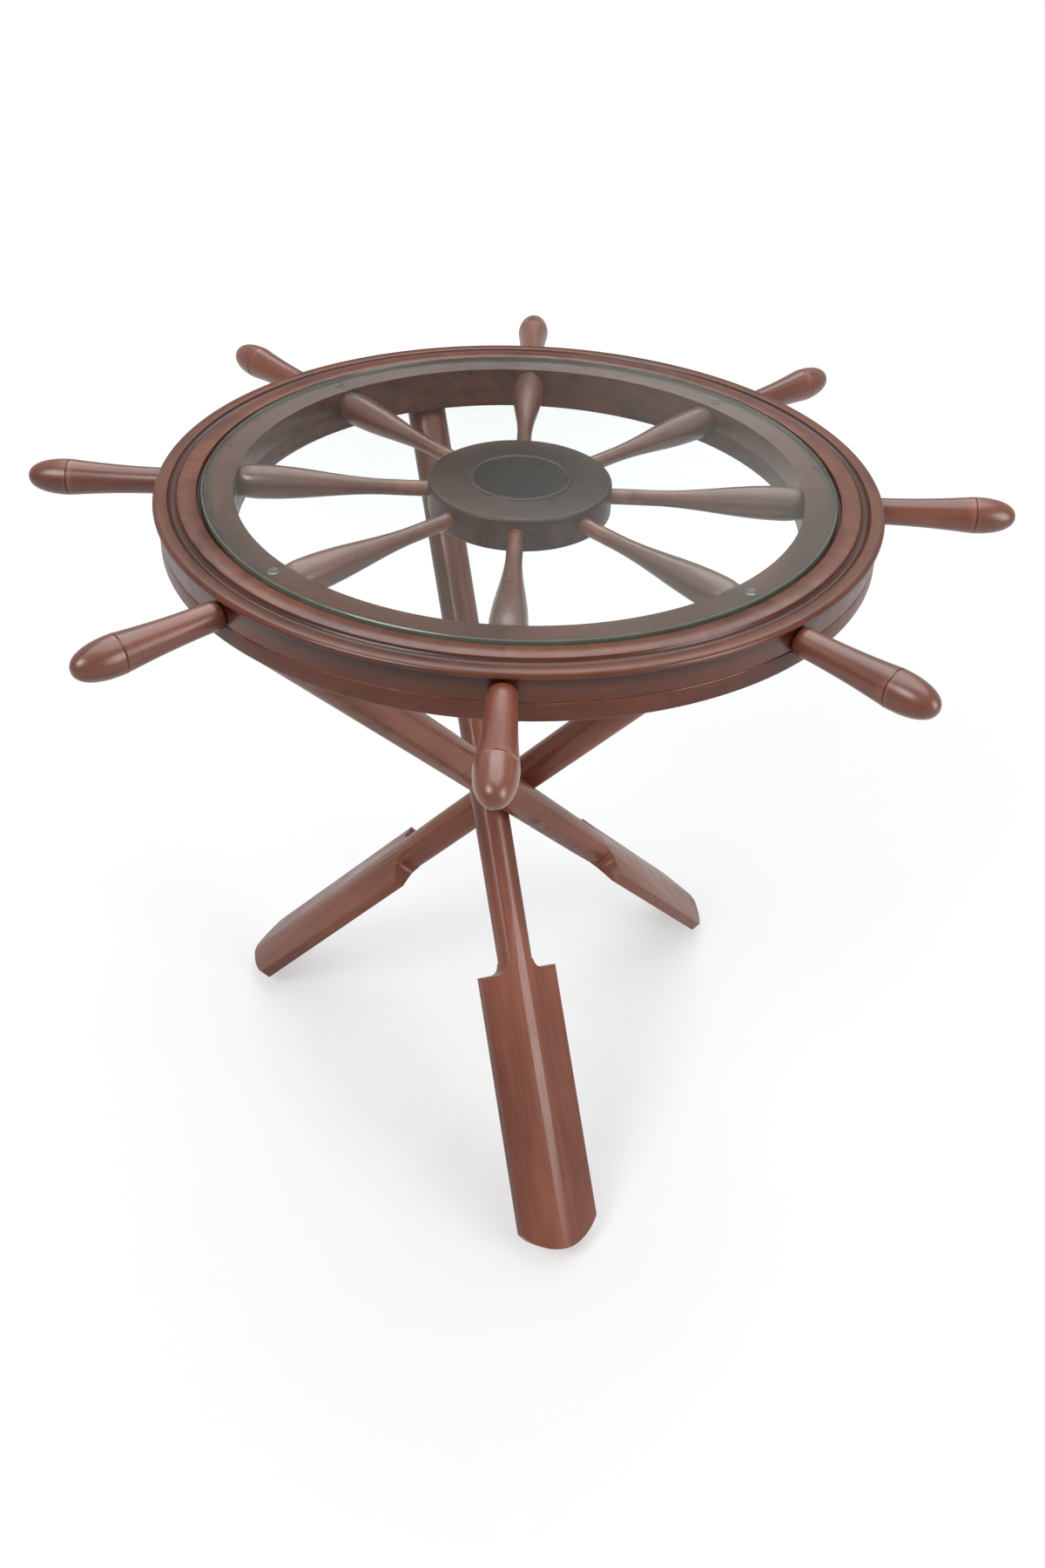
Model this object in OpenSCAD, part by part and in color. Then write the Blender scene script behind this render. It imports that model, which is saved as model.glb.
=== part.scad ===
// Ship wheel table: a glazed eight-spoke wheel carried on three crossed oars.
// Millimetres. The floor is z = 0 and the wheel axis is the Z axis.

/* [Wheel rim] */
// Height of the rim's upper edge above the floor
rim_top_z = 757; // [600:1:900]
// Height of the upper ring, which holds the spokes
felloe_h = 30.5; // [29:0.5:45]
// Height of the lower ring
under_ring_h = 19; // [17:0.5:30]
// Height of the spoke axis above the seam between the two rings
spoke_over_seam = 8; // [7.5:0.5:9]
// Overhang of the nosing past the rim wall
nosing_overhang = 4; // [2:0.5:8]
// Thickness of the nosing
nosing_h = 5; // [4.5:0.5:9]
// Radius of the nosing's upper edge
nosing_round = 4; // [1:0.5:4]
// Width of the nosing outside the cove
nosing_w = 13; // [9:0.5:24]
// Width of the ledge that carries the glass
ledge_w = 34.5; // [20:0.5:60]
// Width of the raised band beside the glass
band_w = 17.5; // [8:0.5:30]
// Step from the band down to the nosing
band_step = 1; // [0.5:0.5:2]
// Width of the cove between the band and the nosing
cove_w = 10; // [4:0.5:12]
// Depth of the cove
cove_depth = 3.5; // [1:0.5:4]
// Bevel of the two rings where they meet on the wall
seam_bevel = 0.8; // [0.3:0.1:2]
// Radius of the rim's lower outer edge
under_round = 2.5; // [1:0.5:5]

/* [Glass] */
// Diameter of the glass top, from which the rim takes its size
glass_d = 610; // [500:1:760]
// Thickness of the glass
glass_t = 6; // [4:0.5:6]
// Radial gap between the glass and its rebate
glass_gap = 4.5; // [1:0.5:5]
// How far the glass stands above the rim
glass_proud = 2; // [2:0.5:4]
// Bevel of the polished glass edge
glass_bevel = 1; // [0.5:0.5:2]
// Number of clear bumper pads under the glass
pad_count = 4; // [3:1:12]
// Diameter of a bumper pad
pad_d = 10; // [6:0.5:16]
// Thickness of a bumper pad
pad_t = 1.5; // [0.5:0.5:3]
// Gap between the pads and the loose glass
pad_gap = 0.2; // [0.1:0.1:0.5]

/* [Hub] */
// Diameter of the hub
hub_d = 180; // [140:1:240]
// Height of the upper hub plate, above the spoke axis
hub_upper_h = 16; // [12:0.5:16]
// Height of the lower hub plate, below the spoke axis
hub_lower_h = 18; // [12:0.5:28]
// Radius of the hub's upper and lower edges
hub_round = 4; // [1:0.5:5]
// Diameter of the raised cap on the hub
cap_d = 104; // [60:1:120]
// Height of the cap's rounded border
cap_h = 2; // [1.5:0.5:2]
// Width of the cap's rounded border
cap_border = 8; // [4:0.5:14]
// Depth of the sunk middle of the cap
cap_dish = 1; // [0.3:0.1:1.2]

/* [Spokes] */
// Diameter of a spoke beside the hub
spoke_hub_d = 15.5; // [13.5:0.5:24]
// Largest diameter of a spoke
spoke_max_d = 34; // [28:0.5:35]
// Diameter of a spoke where it meets the rim
spoke_rim_d = 26; // [18:0.5:28]
// Length of the straight neck beside the hub
spoke_neck_l = 40; // [10:1:60]
// Length of the rounded end beside the rim
spoke_end_l = 18; // [8:1:30]
// Diameter of the tenon in the hub
hub_tenon_d = 12; // [8:0.5:13]
// Length of the tenon in the hub
hub_tenon_l = 45; // [15:1:48]
// Diameter of the tenons in the rim
rim_tenon_d = 12; // [10:0.5:13]
// Length of the tenons in the rim
rim_tenon_l = 28; // [12:1:28]

/* [Handles] */
// Length of a handle outside the rim wall
handle_l = 138; // [90:1:180]
// Diameter of a handle beside the rim
handle_neck_d = 26; // [20:0.5:32]
// Radius of the handle's shoulder at the rim
handle_shoulder = 4; // [1:0.5:5]
// Largest diameter of a handle
handle_max_d = 35.5; // [28:0.5:42]
// Length of the domed end beyond the scribed groove
dome_l = 40; // [20:1:60]
// Width of the scribed groove
scribe_w = 2; // [1:0.5:4]
// Depth of the scribed groove
scribe_depth = 0.9; // [0.3:0.1:2]

/* [Oars] */
// Turn of the first oar's upper end round the wheel axis, in degrees
oar_turn = 112.5; // [100:0.5:120]
// Distance from the rim wall in to the middle of each oar's upper end
oar_top_inset = 31; // [28:1:38]
// Distance of each blade tip from the wheel axis
oar_foot_r = 327; // [240:1:360]
// Diameter of a loom beside the blade
loom_blade_d = 37.5; // [32:0.5:42]
// Diameter of a loom at its upper end
loom_top_d = 43; // [34:0.5:44]
// Gap between two looms where they cross
loom_gap = 0.2; // [0.1:0.1:1]
// Turn of the first blade round its own loom, in degrees
blade_roll_1 = 14; // [-30:1:30]
// Turn of the second blade round its own loom, in degrees
blade_roll_2 = -21; // [-30:1:30]
// Turn of the third blade round its own loom, in degrees
blade_roll_3 = 7; // [-30:1:30]
// Length of a blade from its tip to its shoulders
blade_l = 290; // [200:1:320]
// Width of a blade
blade_w = 90; // [60:1:120]
// Thickness of a blade at its edges
blade_edge_t = 13; // [5:0.5:16]
// Thickness of a blade at its middle ridge
blade_ridge_t = 32; // [20:0.5:33]
// Width of the flat on the ridge
ridge_flat_w = 10; // [4:0.5:16]
// Radius of the blade's rounded end
blade_end_r = 57; // [46:1:120]
// Radius of the hollow between a shoulder and the loom
shoulder_r = 11; // [4:0.5:16]
// Length of the flats planed on the loom, which carry on the blade's faces
loom_flat_l = 60; // [30:1:90]
// Depth of the flat planed under each blade tip
foot_flat = 1.5; // [0.5:0.5:3]

/* [Fastenings] */
// Diameter of the dowels between the oars and the rim
dowel_d = 12; // [8:0.5:14]
// Length of a dowel in the rim
dowel_rim_l = 14; // [8:0.5:14]
// Length of a dowel in an oar
dowel_oar_l = 18; // [8:0.5:20]
// Shank diameter of the screws where the looms cross
screw_d = 4.5; // [4:0.5:6]
// Head diameter of the crossing screws
screw_head_d = 8; // [7:0.5:9]
// Height of the screw's tapered head
screw_head_h = 3; // [2:0.5:4]
// Depth of a screw in the second loom
screw_bite = 27; // [15:1:28]
// Diameter of the wooden plugs over the screws
plug_d = 10; // [9.5:0.5:14]
// Depth of a plug over its screw head
plug_t = 8; // [4:0.5:10]
// Radial gap round tenons, dowels, screws and plugs
fit_gap = 0.05; // [0.02:0.01:0.1]
// Gap left at glued shoulders and at the ends of blind holes
seat_gap = 0.2; // [0.05:0.05:0.3]

/* [Hidden] */
$fn = 96;
spoke_count = 8;
oar_count = 3;
// Extra length of the turned shoulders, cut back to the curved walls they meet
shoulder_allow = 2;
// How far a cutting shape runs past the face it cuts
over = 1;
// Length of the loom's butt inside the blade
neck_overlap = 5;
// How far the blade's shoulder hollows reach in under the loom's sides
neck_inset = 3;

rim_wood = [0.36, 0.16, 0.11];
spoke_wood = [0.42, 0.20, 0.15];
oar_wood = [0.45, 0.22, 0.17];
clear_glass = [0.72, 0.85, 0.80, 0.35];
clear_pad = [0.85, 0.87, 0.86, 0.6];
pale_wood = [0.70, 0.52, 0.34];
plug_wood = [0.26, 0.12, 0.09];
screw_steel = [0.62, 0.62, 0.60];

rebate_r = glass_d / 2 + glass_gap;
rim_inner_r = rebate_r - ledge_w;
band_r = rebate_r + band_w;
rim_r = band_r + cove_w + nosing_w;
wall_r = rim_r - nosing_overhang;
oar_top_r = wall_r - oar_top_inset;
hub_r = hub_d / 2;
seam_z = rim_top_z - felloe_h;
spoke_z = seam_z + spoke_over_seam;
rim_bottom_z = seam_z - under_ring_h;
glass_z = rim_top_z + glass_proud - glass_t;
rebate_z = glass_z - pad_gap - pad_t;
nosing_top_z = rim_top_z - band_step;
far = 8 * rim_r;

// Smooth rise from 0 to 1 as t goes from 0 to 1
function ease(t) = (1 - cos(180 * t)) / 2;

// Spoke radius at a distance x from the hub wall
spoke_l = rim_inner_r - hub_r;
spoke_rise_l = spoke_l - spoke_neck_l - spoke_end_l;
spoke_steps = 12;
function spoke_rise(t) = spoke_hub_d + (spoke_max_d - spoke_hub_d) * ease(t);
function spoke_end(t) = spoke_rim_d + (spoke_max_d - spoke_rim_d) * sqrt(1 - t * t);

// Handle radius outside the rim wall
scribe_x = handle_l - dome_l;
dome_power = 2.3;
function flare_d(t) = handle_neck_d + (handle_max_d - handle_neck_d) * t * t;
function dome_d(t) = handle_max_d * pow(1 - pow(t, dome_power), 1 / dome_power);

// Oar line: from the tip, just above the floor, to the underside of the rim.
// It passes the wheel axis at the offset p, where the three looms just touch.
function foot_run(p) = sqrt(pow(oar_foot_r, 2) - p * p);
function full_run(p) = foot_run(p) + sqrt(pow(oar_top_r, 2) - p * p);
function pitch(p, z0) = atan((rim_bottom_z - z0) / full_run(p));
function cross_part(p, a) = (foot_run(p) / cos(a) - blade_l) / (full_run(p) / cos(a) - blade_l);
function cross_d(p, a) = loom_blade_d + (loom_top_d - loom_blade_d) * cross_part(p, a) + loom_gap;
function touch_offset(p, a) =
    cross_d(p, a) * sqrt(3 * pow(sin(a), 2) + 0.75 * pow(cos(a), 2)) / (3 * sin(a));

// The turns of the three blades, and the depth below the tip point that each rounded,
// thick blade end reaches. The blade that reaches least deep gets just the planed flat.
blade_rolls = [blade_roll_1, blade_roll_2, blade_roll_3];
function half_t(x) = blade_ridge_t / 2 - (blade_ridge_t - blade_edge_t) / 2
    * max(0, abs(x) - ridge_flat_w / 2) / (blade_w / 2 - ridge_flat_w / 2);
function end_drop(x, pitch_a, roll) = sin(roll) * cos(pitch_a) * x
    + sin(pitch_a) * (blade_end_r - sqrt(pow(blade_end_r, 2) - x * x))
    - half_t(x) * cos(roll) * cos(pitch_a);
function lowest(pitch_a, roll) =
    min([for (x = [-blade_w / 2 : 0.5 : blade_w / 2]) end_drop(x, pitch_a, roll)]);
function tip_z(pitch_a) = -max([for (roll = blade_rolls) lowest(pitch_a, roll)]) - foot_flat;

// Slope of the blade's faces, and how far they lie from the loom's middle
face_slope = atan((blade_ridge_t - blade_edge_t) / (blade_w - ridge_flat_w));
function face_distance(side) = side == 0 ? blade_ridge_t / 2
    : (blade_ridge_t / 2 + tan(face_slope) * ridge_flat_w / 2) * cos(face_slope);

// The offset and the pitch depend on each other, so they are worked out in three passes
offset_0 = loom_blade_d / 2;
pitch_0 = pitch(offset_0, 0);
offset_1 = touch_offset(offset_0, pitch_0);
pitch_1 = pitch(offset_1, tip_z(pitch_0));
oar_offset = touch_offset(offset_1, pitch_1);
foot_z = tip_z(pitch_1);
oar_pitch = pitch(oar_offset, foot_z);
foot_turn = oar_turn + acos(oar_offset / oar_top_r) + acos(oar_offset / oar_foot_r);
foot_point = [oar_foot_r * cos(foot_turn), oar_foot_r * sin(foot_turn), foot_z];
top_point = [oar_top_r * cos(oar_turn), oar_top_r * sin(oar_turn), rim_bottom_z];
oar_vector = top_point - foot_point;
oar_l = norm(oar_vector);
oar_dir = oar_vector / oar_l;
oar_heading = atan2(oar_dir[1], oar_dir[0]);

// Points on oar 1 and on oar 2 where the two looms touch
waist_s = foot_run(oar_offset) / cos(oar_pitch);
touch_s = sqrt(3) * oar_offset * cos(oar_pitch) / (pow(cos(oar_pitch), 2) + 4 * pow(sin(oar_pitch), 2));
function turned(v, a) = [v[0] * cos(a) - v[1] * sin(a), v[0] * sin(a) + v[1] * cos(a), v[2]];
step_turn = 360 / oar_count;
near_touch = foot_point + oar_dir * (waist_s - touch_s);
next_touch = turned(foot_point + oar_dir * (waist_s + touch_s), step_turn);
cross_dir = (next_touch - near_touch) / norm(next_touch - near_touch);
loom_cross_r = cross_d(oar_offset, oar_pitch) / 2;
head_start = -loom_cross_r + plug_t;
screw_l = loom_cross_r + screw_bite - head_start - screw_head_h;

// Places a part with its Z axis along an oar, its Y axis on the blade's upper face
module along_oar(k) {
    rotate([0, 0, step_turn * (k - 1)])
    translate(foot_point)
    rotate([0, 0, oar_heading + 90])
    rotate([90 - oar_pitch, 0, 0])
    children();
}

// Places a part with its Z axis on the line through the touching point of two looms
module at_crossing(k) {
    rotate([0, 0, step_turn * (k - 1)])
    translate(near_touch)
    rotate([0, acos(cross_dir[2]), atan2(cross_dir[1], cross_dir[0])])
    children();
}

module at_spoke(k) {
    rotate([0, 0, 360 / spoke_count * (k - 1)])
    translate([0, 0, spoke_z])
    rotate([0, 90, 0])
    children();
}

module ring_profile_upper() {
    difference() {
        union() {
            translate([rim_inner_r, seam_z]) square([rebate_r - rim_inner_r, rebate_z - seam_z]);
            translate([rebate_r, seam_z]) square([band_w, felloe_h]);
            translate([band_r, seam_z]) square([wall_r - band_r, nosing_top_z - seam_z]);
            translate([band_r, nosing_top_z - nosing_h])
                square([rim_r - nosing_round - band_r, nosing_h]);
            translate([band_r, nosing_top_z - nosing_h])
                square([rim_r - band_r, nosing_h - nosing_round]);
            translate([rim_r - nosing_round, nosing_top_z - nosing_round]) circle(r = nosing_round);
        }
        translate([band_r + cove_w / 2, nosing_top_z + cove_w / 2 - cove_depth]) circle(d = cove_w);
        translate([wall_r, seam_z]) rotate(45) square(seam_bevel * sqrt(2), center = true);
    }
}

module felloe_ring() {
    color(rim_wood)
    difference() {
        rotate_extrude() ring_profile_upper();
        for (k = [1 : spoke_count]) {
            at_spoke(k)
                translate([0, 0, rim_inner_r - over])
                cylinder(d = rim_tenon_d + 2 * fit_gap, h = over + rim_tenon_l + seat_gap);
            at_spoke(k)
                translate([0, 0, wall_r - rim_tenon_l - seat_gap])
                cylinder(d = rim_tenon_d + 2 * fit_gap, h = rim_tenon_l + nosing_overhang + over);
        }
    }
}

module under_ring() {
    color(rim_wood)
    difference() {
        rotate_extrude()
        difference() {
            union() {
                translate([rim_inner_r, rim_bottom_z])
                    square([wall_r - under_round - rim_inner_r, under_ring_h]);
                translate([rim_inner_r, rim_bottom_z + under_round])
                    square([wall_r - rim_inner_r, under_ring_h - under_round]);
                translate([wall_r - under_round, rim_bottom_z + under_round]) circle(r = under_round);
            }
            translate([wall_r, seam_z]) rotate(45) square(seam_bevel * sqrt(2), center = true);
        }
        for (k = [1 : oar_count])
            rotate([0, 0, step_turn * (k - 1)])
            translate([top_point[0], top_point[1], rim_bottom_z - over])
            cylinder(d = dowel_d + 2 * fit_gap, h = over + dowel_rim_l + seat_gap);
    }
}

// One hub plate above the spoke axis; the lower plate is turned over
module hub_plate(plate_h) {
    difference() {
        rotate_extrude() {
            square([hub_r - hub_round, plate_h]);
            square([hub_r, plate_h - hub_round]);
            translate([hub_r - hub_round, plate_h - hub_round])
                intersection() {
                    circle(r = hub_round);
                    square(hub_round);
                }
        }
        for (k = [1 : spoke_count])
            rotate([0, 0, 360 / spoke_count * (k - 1)])
            rotate([0, 90, 0])
            translate([0, 0, hub_r - hub_tenon_l - seat_gap])
            cylinder(d = hub_tenon_d + 2 * fit_gap, h = hub_tenon_l + over);
    }
}

module hub_upper_plate() {
    color(rim_wood)
    translate([0, 0, spoke_z])
    hub_plate(hub_upper_h);
}

module hub_lower_plate() {
    color(rim_wood)
    translate([0, 0, spoke_z])
    mirror([0, 0, 1])
    hub_plate(hub_lower_h);
}

module hub_cap() {
    border_r = cap_border / 2;
    color(rim_wood)
    translate([0, 0, spoke_z + hub_upper_h])
    rotate_extrude() {
        square([cap_d / 2 - border_r, cap_h - cap_dish]);
        translate([cap_d / 2 - border_r, 0])
            intersection() {
                translate([0, cap_h - border_r]) circle(r = border_r);
                translate([-border_r, 0]) square([cap_border, cap_h]);
            }
    }
}

// One inner spoke, turned to fit the hub wall and the rim's inner wall
module spoke(k) {
    color(spoke_wood)
    at_spoke(k) {
        difference() {
            translate([0, 0, hub_r - hub_tenon_l])
            rotate_extrude()
            polygon(concat(
                [[0, 0], [hub_tenon_d / 2, 0], [hub_tenon_d / 2, hub_tenon_l - shoulder_allow],
                 [spoke_hub_d / 2, hub_tenon_l - shoulder_allow]],
                [for (i = [0 : spoke_steps]) [spoke_rise(i / spoke_steps) / 2,
                    hub_tenon_l + spoke_neck_l + spoke_rise_l * i / spoke_steps]],
                [for (i = [1 : spoke_steps]) [spoke_end(i / spoke_steps) / 2,
                    hub_tenon_l + spoke_l - spoke_end_l * (1 - i / spoke_steps)]],
                [[rim_tenon_d / 2, hub_tenon_l + spoke_l],
                 [rim_tenon_d / 2, hub_tenon_l + spoke_l + rim_tenon_l],
                 [0, hub_tenon_l + spoke_l + rim_tenon_l]]));
            // Hollow that lets the shoulder follow the round hub
            rotate([0, 90, 0])
            difference() {
                cylinder(r = hub_r + seat_gap, h = spoke_hub_d + over, center = true);
                rotate([0, -90, 0]) cylinder(d = hub_tenon_d, h = hub_r + over);
            }
            // Rounded shoulder that follows the rim's inner wall
            rotate([0, 90, 0])
            difference() {
                cylinder(r = wall_r, h = spoke_max_d + over, center = true);
                cylinder(r = rim_inner_r - seat_gap, h = spoke_max_d + 2 * over, center = true);
                rotate([0, -90, 0]) cylinder(d = rim_tenon_d, h = wall_r + over);
            }
        }
    }
}

module spoke_1() { spoke(1); }
module spoke_2() { spoke(2); }
module spoke_3() { spoke(3); }
module spoke_4() { spoke(4); }
module spoke_5() { spoke(5); }
module spoke_6() { spoke(6); }
module spoke_7() { spoke(7); }
module spoke_8() { spoke(8); }

// One handle: tenon, rounded shoulder, flared grip, scribed groove and domed end
module handle(k) {
    shoulder_steps = 5;
    flare_steps = 8;
    dome_steps = 12;
    grip_l = scribe_x - scribe_w - handle_shoulder;
    color(spoke_wood)
    at_spoke(k)
    difference() {
        translate([0, 0, wall_r])
        rotate_extrude()
        polygon(concat(
            [[0, -rim_tenon_l], [rim_tenon_d / 2, -rim_tenon_l], [rim_tenon_d / 2, 0]],
            [for (i = [0 : shoulder_steps]) [
                handle_neck_d / 2 - handle_shoulder * (1 - sin(90 * i / shoulder_steps)),
                handle_shoulder * (1 - cos(90 * i / shoulder_steps))]],
            [for (i = [1 : flare_steps]) [flare_d(i / flare_steps) / 2,
                handle_shoulder + grip_l * i / flare_steps]],
            [[handle_max_d / 2 - scribe_depth, scribe_x - scribe_w / 2]],
            [for (i = [0 : dome_steps]) [dome_d(sin(90 * i / dome_steps)) / 2,
                scribe_x + dome_l * sin(90 * i / dome_steps)]]));
        // Shoulder that follows the round rim wall
        rotate([0, 90, 0])
        difference() {
            cylinder(r = wall_r + seat_gap, h = handle_max_d + over, center = true);
            rotate([0, -90, 0]) cylinder(d = rim_tenon_d, h = wall_r + nosing_overhang);
        }
    }
}

module handle_1() { handle(1); }
module handle_2() { handle(2); }
module handle_3() { handle(3); }
module handle_4() { handle(4); }
module handle_5() { handle(5); }
module handle_6() { handle(6); }
module handle_7() { handle(7); }
module handle_8() { handle(8); }

module glass_top() {
    r = glass_d / 2;
    color(clear_glass)
    translate([0, 0, glass_z])
    rotate_extrude()
    polygon([[0, 0], [r - glass_bevel, 0], [r, glass_bevel], [r, glass_t - glass_bevel],
        [r - glass_bevel, glass_t], [0, glass_t]]);
}

module glass_bumpers() {
    pad_ring_r = (rim_inner_r + glass_d / 2) / 2;
    color(clear_pad)
    for (k = [1 : pad_count])
        rotate([0, 0, 360 / pad_count * (k - 0.5)])
        translate([pad_ring_r, 0, rebate_z])
        cylinder(d = pad_d, h = pad_t);
}

// Outline of the blade in its own plane, with shoulders hollowed into the loom
module blade_outline() {
    neck_w = loom_blade_d - 2 * neck_inset;
    intersection() {
        union() {
            translate([-blade_w / 2, 0]) square([blade_w, blade_l]);
            difference() {
                translate([-neck_w / 2 - shoulder_r, blade_l - over])
                    square([neck_w + 2 * shoulder_r, over + shoulder_r]);
                for (side = [-1, 1])
                    translate([side * (neck_w / 2 + shoulder_r), blade_l + shoulder_r])
                    circle(r = shoulder_r);
            }
        }
        union() {
            translate([0, blade_end_r]) circle(r = blade_end_r);
            translate([-blade_w / 2, blade_end_r]) square([blade_w, blade_l + shoulder_r]);
        }
    }
}

module blade() {
    intersection() {
        linear_extrude(blade_l + shoulder_r)
            polygon([[-blade_w / 2, -blade_edge_t / 2], [-ridge_flat_w / 2, -blade_ridge_t / 2],
                [ridge_flat_w / 2, -blade_ridge_t / 2], [blade_w / 2, -blade_edge_t / 2],
                [blade_w / 2, blade_edge_t / 2], [ridge_flat_w / 2, blade_ridge_t / 2],
                [-ridge_flat_w / 2, blade_ridge_t / 2], [-blade_w / 2, blade_edge_t / 2]]);
        rotate([90, 0, 0])
            linear_extrude(blade_ridge_t + over, center = true) blade_outline();
    }
}

// Round loom from the blade up past the rim, cut off at the rim later
module loom() {
    past = loom_top_d;
    taper = (loom_top_d - loom_blade_d) / 2 / (oar_l - blade_l);
    translate([0, 0, blade_l])
        cylinder(r1 = loom_blade_d / 2, r2 = loom_top_d / 2 + taper * past, h = oar_l - blade_l + past);
    translate([0, 0, blade_l - neck_overlap])
        cylinder(d = loom_blade_d, h = neck_overlap);
}

// Stock that is planed off the loom, so that each face of the blade runs out on it
module loom_flats() {
    for (face = [0, 180])
        for (side = [-1, 0, 1]) {
            depth = loom_blade_d / 2 - face_distance(side);
            rotate([0, 0, face + side * face_slope])
            translate([0, face_distance(side), blade_l])
            rotate([-atan(depth / loom_flat_l), 0, 0])
            translate([-loom_top_d / 2, 0, -neck_overlap - over])
            cube([loom_top_d, loom_top_d, loom_flat_l + blade_l]);
        }
}

// One oar: blade, loom, level cut under the rim and planed flat on the floor
module oar(k) {
    color(oar_wood)
    difference() {
        along_oar(k)
        union() {
            rotate([0, 0, blade_rolls[k - 1]]) blade();
            difference() {
                loom();
                rotate([0, 0, blade_rolls[k - 1]]) loom_flats();
            }
        }
        translate([0, 0, rim_bottom_z - seat_gap + far / 2]) cube(far, center = true);
        translate([0, 0, -far / 2]) cube(far, center = true);
        rotate([0, 0, step_turn * (k - 1)])
            translate([top_point[0], top_point[1], rim_bottom_z - dowel_oar_l - seat_gap])
            cylinder(d = dowel_d + 2 * fit_gap, h = dowel_oar_l + over);
        // Plug hole, head recess and shank hole of the screw through this loom
        at_crossing(k) {
            translate([0, 0, -loom_cross_r - loom_top_d])
                cylinder(d = plug_d + 2 * fit_gap, h = loom_top_d + plug_t);
            translate([0, 0, head_start])
                cylinder(d = screw_d + 2 * fit_gap, h = loom_top_d);
            translate([0, 0, head_start - over])
                cylinder(d = screw_head_d + 2 * fit_gap, h = over + screw_head_h + seat_gap);
        }
        // Blind hole for the screw that comes out of the oar before this one
        at_crossing(k - 1)
            translate([0, 0, head_start])
            cylinder(d = screw_d + 2 * fit_gap, h = screw_head_h + screw_l + seat_gap);
    }
}

module oar_1() { oar(1); }
module oar_2() { oar(2); }
module oar_3() { oar(3); }

module oar_dowels() {
    color(pale_wood)
    for (k = [1 : oar_count])
        rotate([0, 0, step_turn * (k - 1)])
        translate([top_point[0], top_point[1], rim_bottom_z - dowel_oar_l])
        cylinder(d = dowel_d, h = dowel_oar_l + dowel_rim_l);
}

module crossing_screws() {
    color(screw_steel)
    for (k = [1 : oar_count])
        at_crossing(k)
        translate([0, 0, head_start]) {
            cylinder(d1 = screw_head_d, d2 = screw_d, h = screw_head_h);
            cylinder(d = screw_d, h = screw_l + screw_head_h);
        }
}

module crossing_plugs() {
    color(plug_wood)
    for (k = [1 : oar_count])
        intersection() {
            at_crossing(k)
                translate([0, 0, head_start - loom_top_d])
                cylinder(d = plug_d, h = loom_top_d - seat_gap);
            along_oar(k) loom();
        }
}

felloe_ring();
under_ring();
hub_upper_plate();
hub_lower_plate();
hub_cap();
spoke_1();
spoke_2();
spoke_3();
spoke_4();
spoke_5();
spoke_6();
spoke_7();
spoke_8();
handle_1();
handle_2();
handle_3();
handle_4();
handle_5();
handle_6();
handle_7();
handle_8();
glass_top();
glass_bumpers();
oar_1();
oar_2();
oar_3();
oar_dowels();
crossing_screws();
crossing_plugs();
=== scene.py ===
from math import atan, cos, degrees, pi, radians, sin, sqrt, tan

import bpy
from mathutils import Euler, Matrix, Vector


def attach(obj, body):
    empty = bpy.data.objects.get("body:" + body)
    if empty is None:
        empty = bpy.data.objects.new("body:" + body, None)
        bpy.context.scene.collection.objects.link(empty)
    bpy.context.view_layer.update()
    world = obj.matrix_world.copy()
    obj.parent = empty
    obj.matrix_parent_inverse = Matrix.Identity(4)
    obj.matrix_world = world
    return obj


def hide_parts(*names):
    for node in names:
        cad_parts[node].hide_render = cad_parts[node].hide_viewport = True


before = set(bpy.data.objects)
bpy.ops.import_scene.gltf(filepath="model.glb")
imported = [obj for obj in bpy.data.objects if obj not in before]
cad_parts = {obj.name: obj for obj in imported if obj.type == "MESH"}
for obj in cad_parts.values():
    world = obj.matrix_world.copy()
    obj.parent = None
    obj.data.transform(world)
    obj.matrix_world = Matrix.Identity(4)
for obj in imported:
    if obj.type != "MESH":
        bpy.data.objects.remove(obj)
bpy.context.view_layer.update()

MM = 0.001

# Wheel sizes, in millimetres
RIM_TOP = 757.0
SEAM_Z = 726.5
RIM_BOTTOM = 707.5
SPOKE_Z = 734.5
OPENING_R = 275.0
REBATE_R = 309.5
REBATE_Z = 751.3
BAND_R = 327.0
COVE_W = 10.0
COVE_DEPTH = 3.5
NOSING_TOP = 756.0
NOSING_H = 5.0
NOSING_ROUND = 4.0
RIM_R = 350.0
WALL_R = 346.0
SEAM_BEVEL = 0.8
UNDER_ROUND = 2.5

HUB_R = 90.0
HUB_UPPER_H = 16.0
HUB_LOWER_H = 18.0
HUB_ROUND = 4.0
CAP_R = 52.0
CAP_H = 2.0
CAP_BORDER = 4.0
CAP_DISH = 1.0
HUB_STEPS = 128

GLASS_R = 305.0
GLASS_LOW = 753.0
GLASS_T = 6.0
GLASS_BEVEL = 1.0

# Turned pieces
SPOKE_COUNT = 8
SPOKE_HUB_D = 15.5
SPOKE_MAX_D = 34.0
SPOKE_RIM_D = 26.0
SPOKE_NECK_L = 40.0
SPOKE_END_L = 18.0
HANDLE_L = 138.0
HANDLE_NECK_D = 26.0
HANDLE_SHOULDER = 4.0
HANDLE_MAX_D = 35.5
DOME_L = 40.0
DOME_POWER = 2.3
SCRIBE_W = 2.0
SCRIBE_DEPTH = 0.9

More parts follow.
